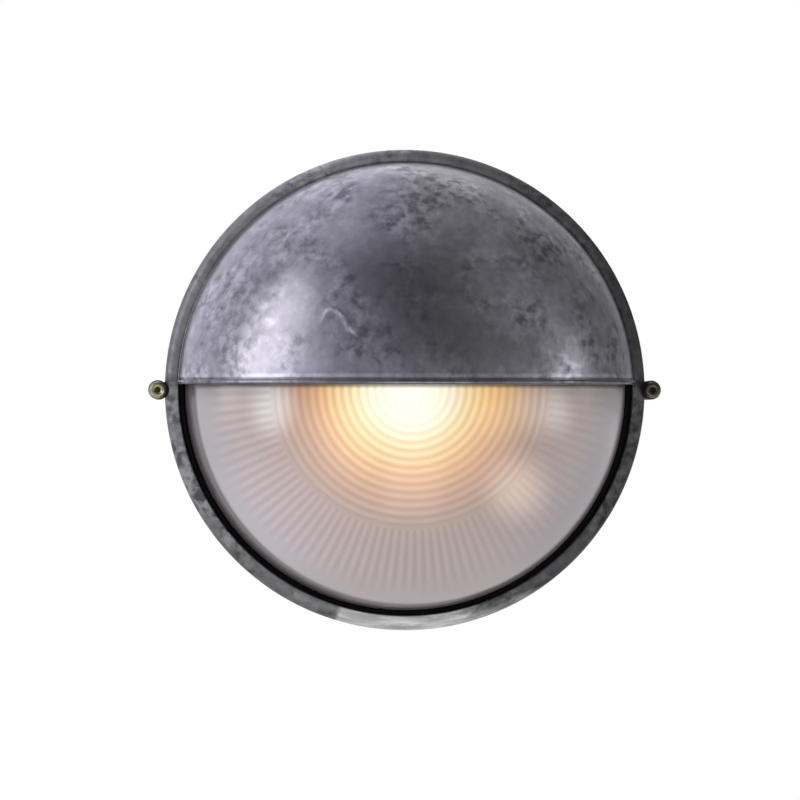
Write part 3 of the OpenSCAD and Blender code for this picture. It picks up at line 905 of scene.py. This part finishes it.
def makeRing():
    c = casting
    outside, opening, front = c["ringRadius"], c["openingRadius"], c["ringFront"]
    ring = turned("frontCasting", [
        (c["skirtRadius"], c["skirtLow"]), (outside - c["skirtRound"], c["skirtLow"]),
        (outside, c["skirtLow"] + c["skirtRound"]),
        *arc((outside - c["shoulder"], front - c["shoulder"] - c["ringFall"]), c["shoulder"], 0, 84, 12),
        *arc((opening + c["innerRound"], front - c["innerRound"]), c["innerRound"], 90, 180, 5),
        (opening, c["lipBack"]), (c["skirtRadius"], c["lipBack"]), (c["skirtRadius"], c["skirtLow"])], 256)
    startEdit(ring)
    pickVerts(ring, lambda p: p.z < 0 and math.hypot(p.x, p.z) < opening + 0.0015)
    bpy.ops.transform.resize(value=(1, 1, c["footShare"]), center_override=(0, 0, 0))
    endEdit()
    return ring


def makeHoodShell():
    # a quarter of a ball with level seams, so that the lip and its bead follow them,
    # then pressed flatter towards the wall
    c = casting
    radius = c["openingRadius"]
    seams = [radius * math.sin(math.radians(a)) for a in range(4, 90, c["levelStep"])]
    levels = [c["lipHeight"], beadTop, creaseTop, *seams, radius]
    hood = drawLine("hood", [Vector((math.sqrt(max(0.0, radius ** 2 - z ** 2)), 0, z)) for z in levels])
    bpy.ops.mesh.select_all(action="SELECT")
    swing(math.radians(c["inRing"]), "Z")
    bpy.ops.mesh.spin(steps=c["turnSteps"], angle=math.radians(180 + 2 * c["inRing"]),
                      center=(0, 0, 0), axis=(0, 0, 1))
    joinDoubles()
    bpy.ops.transform.resize(value=(1, c["hoodDepth"] / radius, 1), center_override=(0, 0, 0))
    bpy.ops.transform.translate(value=(0, -c["hoodBase"], 0))
    faceOutwards()
    endEdit()
    return applied(hood, "SOLIDIFY", thickness=c["hoodWall"], offset=-1)


def shapeLip(hood):
    # the bead is drawn out of the skin's lowest band, with a narrow crease over it
    c = casting
    lip = c["lipHeight"]

    def outOfHood(p):
        # how far a point lies outside the hood's own skin
        share = math.hypot(math.hypot(p.x, p.z) / c["openingRadius"], (-p.y - c["hoodBase"]) / c["hoodDepth"])
        return (share - 1) * c["hoodDepth"]

    def onBeadEdge(a, b):
        level = abs(a.z - b.z) < 0.00015 and min(abs(a.z - beadTop), abs(a.z - lip)) < 0.0003
        return level and min(outOfHood(a), outOfHood(b)) > 0.0006

    startEdit(hood)
    pickFaces(hood, lambda p: lip + 0.00001 < p.z < beadTop and outOfHood(p) > -0.0008)
    swell(c["beadOut"])
    pickEdges(hood, onBeadEdge)
    bpy.ops.mesh.bevel(offset=c["beadRound"], segments=4, profile=0.5, affect="EDGES", loop_slide=False)
    endEdit()
    startEdit(hood)
    pickFaces(hood, lambda p: beadTop + 0.0001 < p.z < creaseTop - 0.0001 and outOfHood(p) > -0.0008)
    swell(-c["creaseDepth"])
    endEdit()
    startEdit(hood)
    pickVerts(hood, lambda p: p.z < creaseTop + 0.0004)
    swing(-math.radians(c["lipDroop"]), "X", (0, -c["hoodBase"], 0))
    endEdit()


def makeFillet():
    # the small round in the corner where the hood rises from the ring
    c = casting
    size, root = c["filletRadius"], c["openingRadius"] - 0.0001
    front, deep = c["ringFront"] - 0.0001, c["ringFront"] - 0.001
    outline = [
        (root - 0.001, deep), (root + size, deep), *arc((root + size, front + size), size, 270, 180, 6),
        (root - 0.001, front + size), (root - 0.001, deep)]
    fillet = drawLine("fillet", [onWall(p) for p in outline])
    joinDoubles()
    bpy.ops.mesh.edge_face_add()
    start = math.asin((c["lipHeight"] + 0.001) / c["openingRadius"])
    swing(start, "Y")  # up, to where the lip meets the ring
    bpy.ops.mesh.spin(steps=180, angle=math.pi - 2 * start, center=(0, 0, 0), axis=(0, 1, 0))
    faceOutwards()
    endEdit()
    return fillet


def addEar(piece, side):
    c = casting
    x, inner = side * c["earX"], side * (c["skirtRadius"] + 0.001)
    ear = rod("ear", c["earRadius"], c["skirtLow"], c["earSeat"], x)
    soften(ear, lambda a, b: abs(a.y - b.y) < tiny and abs(a.y + c["earSeat"]) < 1e-5, c["earRound"], 2)
    web = block("web", (min(x, inner), -c["earSeat"], -c["webHeight"]),
                (max(x, inner), -c["skirtLow"], c["webHeight"]))
    combine(piece, combine(ear, web))
    combine(piece, rod("hole", c["screwHole"], 0.02, 0.09, x), "DIFFERENCE")
    combine(piece, rod("seat", c["seatRadius"], c["earSeat"], 0.09, x), "DIFFERENCE")


def makeFrontCasting():
    piece = makeRing()
    hood = makeHoodShell()
    shapeLip(hood)
    combine(combine(piece, hood), makeFillet())
    for side in (-1, 1):
        addEar(piece, side)
    smooth(piece, 30)
    finished(piece, "front", "hood_metal", "hooded_frame")


def makeGlass():
    g = glass
    outer, inner = (g["radius"], g["depth"]), (g["radius"] - g["wall"], g["depth"] - g["wall"])
    flangeTop = g["flangeLow"] + g["flangeWall"]
    ribs = []
    for i in range(g["ribCount"] * g["ribSteps"]):
        radius = i * g["ribPitch"] / g["ribSteps"]
        rise = g["ribRise"] * (1 - math.cos(2 * math.pi * i / g["ribSteps"])) / 2
        ribs.append((radius, domeAt(inner, g["seat"], radius) - rise))
    ribEnd = g["ribCount"] * g["ribPitch"]
    side = [(r, domeAt(inner, g["seat"], r)) for r in (ribEnd, ribEnd + 0.0021, fluteStart, *g["sideRings"])]
    piece = turned("ribbedGlass", [
        (g["flangeRadius"], g["flangeLow"]), (g["flangeRadius"], flangeTop),
        (g["radius"] + 0.0004, flangeTop), *domeLine(outer, g["seat"], 44), *ribs, *side,
        (inner[0], g["seat"] + 0.003), (inner[0], g["flangeLow"]), (g["flangeRadius"], g["flangeLow"])],
                   4 * g["fluteCount"])

    def fluteVerts(low, high, columns):
        step = 2 * math.pi / (4 * g["fluteCount"])

        def test(p):
            radius = math.hypot(p.x, p.z)
            inside = -p.y < domeAt(outer, g["seat"], radius) - g["wall"] * 0.5
            column = round(math.atan2(p.z, p.x) / step) % 4
            return inside and low < radius < high and column in columns
        return test

    # each flute is pressed down twice, the second time over a shorter stretch, so that its ends run out
    startEdit(piece)
    for low, high in ((fluteStart - 0.0004, g["fluteEnd"]), (fluteStart + 0.002, g["fluteEnd"] - 0.012)):
        for columns, share in (((2,), 0.5), ((1, 3), 0.25)):
            pickVerts(piece, fluteVerts(low, high, columns))
            bpy.ops.transform.translate(value=(0, g["fluteRise"] * share, 0))
    endEdit()
    smooth(piece, 60)
    finished(piece, "front", "ribbed_glass", "glass_lens")


# Side screws, at both ears

sideScrew = {
    "seat": casting["earSeat"] + 0.0008,
    "headRadius": 0.00425,
    "headHeight": 0.005,
    "headFoot": (0.0003, 0.0004),
    "edgeRound": 0.0016,
    "socketRadius": 0.0018,
    "socketDepth": 0.003,
    "socketEdge": 0.0004,
    "shankRadius": 0.0025,
    "length": 0.028,
    "tip": (0.0008, 0.0012),
    "pitch": 0.0008,
    "threadDepth": 0.0004,
    "threadLength": 0.018,
    "ridges": 30,
    "ridgeDepth": 0.00012,
}


def makeSideScrew(name, side):
    s = sideScrew
    seat, top, tip = s["seat"], s["seat"] + s["headHeight"], s["seat"] - s["length"]
    shank, root, head = s["shankRadius"], s["shankRadius"] - s["threadDepth"], s["headRadius"]
    cut, first = s["tip"]
    threads = []
    for i in range(int(s["threadLength"] / s["pitch"])):
        low = tip + first + i * s["pitch"]
        threads += [(root, low), (shank, low + s["pitch"] * 0.4), (shank, low + s["pitch"] * 0.6)]
    outline = [
        (0, tip), (shank - cut, tip), (root, tip + cut), *threads, (shank, tip + first + s["threadLength"]),
        (shank, seat), (head - s["headFoot"][0], seat), (head, seat + s["headFoot"][1]), (head, top - 0.002),
        *arc((head - s["edgeRound"], top - s["edgeRound"]), s["edgeRound"], 0, 90, 7),
        (s["socketRadius"] + s["socketEdge"], top), (s["socketRadius"] - 0.0001, top - s["socketEdge"]),
        (0, top - s["socketEdge"])]
    x = side * casting["earX"]
    screw = turned(name, outline, 2 * s["ridges"], lambda p: Vector((p[0] + x, -p[1], 0)), (x, 0, 0))
    startEdit(screw)
    step = math.pi / s["ridges"]
    pickVerts(screw, lambda p: seat < -p.y < top - 0.0018 and math.hypot(p.x - x, p.z) > head - 0.0001
              and round(math.atan2(p.z, p.x - x) / step) % 2 == 0)
    share = 1 - s["ridgeDepth"] / head
    bpy.ops.transform.resize(value=(share, 1, share), center_override=(x, 0, 0))
    endEdit()
    combine(screw, rod("socket", s["socketRadius"], top - s["socketDepth"], top + 0.002, x, 6), "DIFFERENCE")
    smooth(screw, 40)
    finished(screw, name, "screw_brass", name)


makeFrontCasting()
makeGlass()
for name, side in (("screw_left", -1), ("screw_right", 1)):
    makeSideScrew(name, side)


# Light, floor and camera

view = {
    "target": (0, -0.053, 0),
    "distance": 1.7,          # from the ring's front to the lens
    "azimuth": -3.2,
    "elevation": -0.5,
    "ringPixels": 240.3,      # the ring's radius in the photograph
    "ringCentre": (405.7, 389.9),
    "imageSize": 800,
    "sensor": 36.0,
}


def directionTo(azimuth, elevation):
    # degrees to the right of the front, and up
    a, e = math.radians(azimuth), math.radians(elevation)
    return Vector((math.sin(a) * math.cos(e), -math.cos(a) * math.cos(e), math.sin(e)))


def makeCamera():
    back = directionTo(view["azimuth"], view["elevation"])
    turn = (-back).to_track_quat("-Z", "Y")
    pixel = casting["ringRadius"] / view["ringPixels"]
    right, up = turn @ Vector((1, 0, 0)), turn @ Vector((0, 1, 0))
    middle = view["imageSize"] / 2
    aside = right * (middle - view["ringCentre"][0]) * pixel + up * (view["ringCentre"][1] - middle) * pixel
    data = bpy.data.cameras.new("camera")
    data.sensor_width = view["sensor"]
    data.lens = view["sensor"] * view["distance"] / (pixel * view["imageSize"])
    camera = bpy.data.objects.new("camera", data)
    scene.collection.objects.link(camera)
    camera.location = Vector(view["target"]) + aside + back * view["distance"]
    camera.rotation_euler = turn.to_euler()
    scene.camera = camera


lampTarget = Vector((0, -0.06, 0))
lamps = {                     # the left one's soft picture in the metal comes from the cloth
    "leftWindow": {"azimuth": -61, "elevation": 12, "distance": 1.6, "size": (0.74, 1.4), "power": 6.4,
                   "color": (1.0, 0.985, 1.0), "inMetal": False},
    "rightWindow": {"azimuth": 74, "elevation": 6, "distance": 1.6, "size": (0.4, 0.6), "power": 0.7,
                    "color": (1, 1, 1), "inMetal": True},
    "lowWindow": {"azimuth": 4, "elevation": -36, "distance": 0.9, "size": (0.28, 1.0), "power": 1.2,
                  "color": (1, 1, 1), "inMetal": True},
}


def makeLamp(name, plan):
    back = directionTo(plan["azimuth"], plan["elevation"])
    data = bpy.data.lights.new(name, "AREA")
    data.shape = "RECTANGLE"
    data.size, data.size_y = plan["size"]
    data.energy = plan["power"]
    data.color = plan["color"]
    lamp = bpy.data.objects.new(name, data)
    scene.collection.objects.link(lamp)
    lamp.location = lampTarget + back * plan["distance"]
    lamp.rotation_euler = (-back).to_track_quat("-Z", "Y").to_euler()
    lamp.visible_glossy = plan["inMetal"]


ground = {
    "radius": 2.6,
    "height": -0.62,
    "tones": ((0.8, 0.8, 0.8, 1), (0.84, 0.84, 0.84, 1)),
    "glow": 0.42,             # brings the floor up to white where it is seen
    "worldLight": 0.45,
}


def seenRays():
    # 1 where a surface is looked at, straight, in metal or through glass
    path = addNode("ShaderNodeLightPath").outputs
    seen = plus(path["Is Camera Ray"], path["Is Glossy Ray"])
    return plus(seen, path["Is Transmission Ray"], clamp=True)


def makeWorld():
    world = bpy.data.worlds.new("world")
    scene.world = world
    world.use_nodes = True
    tree = opened["tree"] = world.node_tree
    light = tree.nodes["Background"]
    plug(light, {"Color": (1, 1, 1, 1), "Strength": ground["worldLight"]})
    white = addNode("ShaderNodeBackground", {"Color": (1, 1, 1, 1), "Strength": 1.0})
    mix = addNode("ShaderNodeMixShader", {0: seenRays(), 1: light.outputs[0], 2: white.outputs[0]})
    plug(tree.nodes["World Output"], {"Surface": mix.outputs[0]})


def makeFloor():
    deselectAll()
    bpy.ops.mesh.primitive_circle_add(vertices=96, radius=ground["radius"], fill_type="NGON",
                                      location=(0, 0, ground["height"]))
    floor = named("floor")
    material, shader, where = newMaterial("paleFloor")
    plug(shader, {
        "Base Color": blendColors(noise(where, 3, 3), *ground["tones"]), "Roughness": 0.7,
        "Emission Color": (1, 1, 1, 1), "Emission Strength": times(seenRays(), ground["glow"])})
    floor.data.materials.append(material)


# A cloth all round that only shows in the metal, as a studio's dark side and pale walls would.
# Its tones are given for directions in degrees to the right of the front, low down and high up.

room = {
    "radius": 2.6,
    "down": -5,
    "low": [(-180, 0.95), (-150, 0.92), (-115, 0.86), (-96, 0.7), (-84, 0.62), (-70, 0.7), (-50, 0.7),
            (-40, 0.6), (-30, 0.46), (-20, 0.33), (-10, 0.2), (0, 0.155), (15, 0.14), (30, 0.19), (45, 0.28),
            (60, 0.36), (90, 0.28), (110, 0.2), (130, 0.22), (150, 0.36), (180, 0.95)],
    "high": [(-180, 1.2), (-155, 1.0), (-100, 0.83), (-75, 0.7), (-60, 0.58), (-45, 0.36), (-30, 0.2),
             (-15, 0.145), (0, 0.14), (15, 0.14), (30, 0.18), (45, 0.26), (60, 0.35), (80, 0.3), (100, 0.22),
             (125, 0.36), (145, 0.48), (160, 0.75), (180, 1.2)],
    "split": (30, 44),        # the heights in degrees between which low turns to high
    "topFrom": (50, 76),
    "top": (0.74, 0.36),      # straight up: left and right
    "window": {"left": (-84, -75), "right": (-66, -43), "top": (26, 50), "lean": 0.2, "strength": 2.0,
               "tint": (1.0, 0.98, 1.01, 1)},
    "horizon": 0.1,
    "coolSide": (0.965, 0.955, 1.06, 1),
    "warmSide": (1.0, 0.99, 1.0, 1),
}


def windowLight(azimuth, elevation):
    pane = room["window"]
    upright = minus(azimuth, times(elevation, pane["lean"]))
    return times(stretch(upright, *pane["left"]),
                 stretch(upright, *pane["right"], 1.0, 0.0),
                 stretch(elevation, *pane["top"], pane["strength"], 0.0))


def makeRoomCloth():
    deselectAll()
    bpy.ops.mesh.primitive_uv_sphere_add(segments=72, ring_count=36, radius=room["radius"])
    piece = named("roomCloth")
    startEdit(piece)
    pickVerts(piece, lambda p: p.z < room["radius"] * math.sin(math.radians(room["down"])) - 0.001)
    bpy.ops.mesh.delete(type="VERT")
    endEdit()
    material, shader, where = newMaterial("roomCloth")
    nodesHere = material.node_tree.nodes
    nodesHere.remove(shader)
    at = placeOf(where)
    azimuth = maths("DEGREES", maths("ARCTAN2", at.x, times(at.y, -1.0)))
    elevation = maths("DEGREES", maths("ARCSINE", maths("DIVIDE", at.z, room["radius"])))
    tone = blendValues(stretch(elevation, *room["split"]), toneRamp(azimuth, room["low"]),
                       toneRamp(azimuth, room["high"]))
    tone = blendValues(stretch(elevation, *room["topFrom"]), tone, stretch(azimuth, -60, 20, *room["top"]))
    window = windowLight(azimuth, elevation)
    tone = plus(plus(tone, stretch(elevation, 12, 2, 0.0, room["horizon"])), window)
    tint = blendColors(stretch(azimuth, 2, 14), room["coolSide"], room["warmSide"])
    paned = maths("MULTIPLY", window, 0.5, clamp=True)
    tint = blendColors(paned, tint, room["window"]["tint"])
    flat = addNode("ShaderNodeEmission", {"Color": tint, "Strength": tone})
    plug(nodesHere["Material Output"], {"Surface": flat.outputs[0]})
    piece.data.materials.append(material)
    piece.visible_camera = piece.visible_diffuse = piece.visible_shadow = piece.visible_transmission = False


makeCamera()
makeWorld()
makeFloor()
makeRoomCloth()
for name, plan in lamps.items():
    makeLamp(name, plan)
print("stage, lamps and camera ready")

scene.view_settings.view_transform = "Standard"
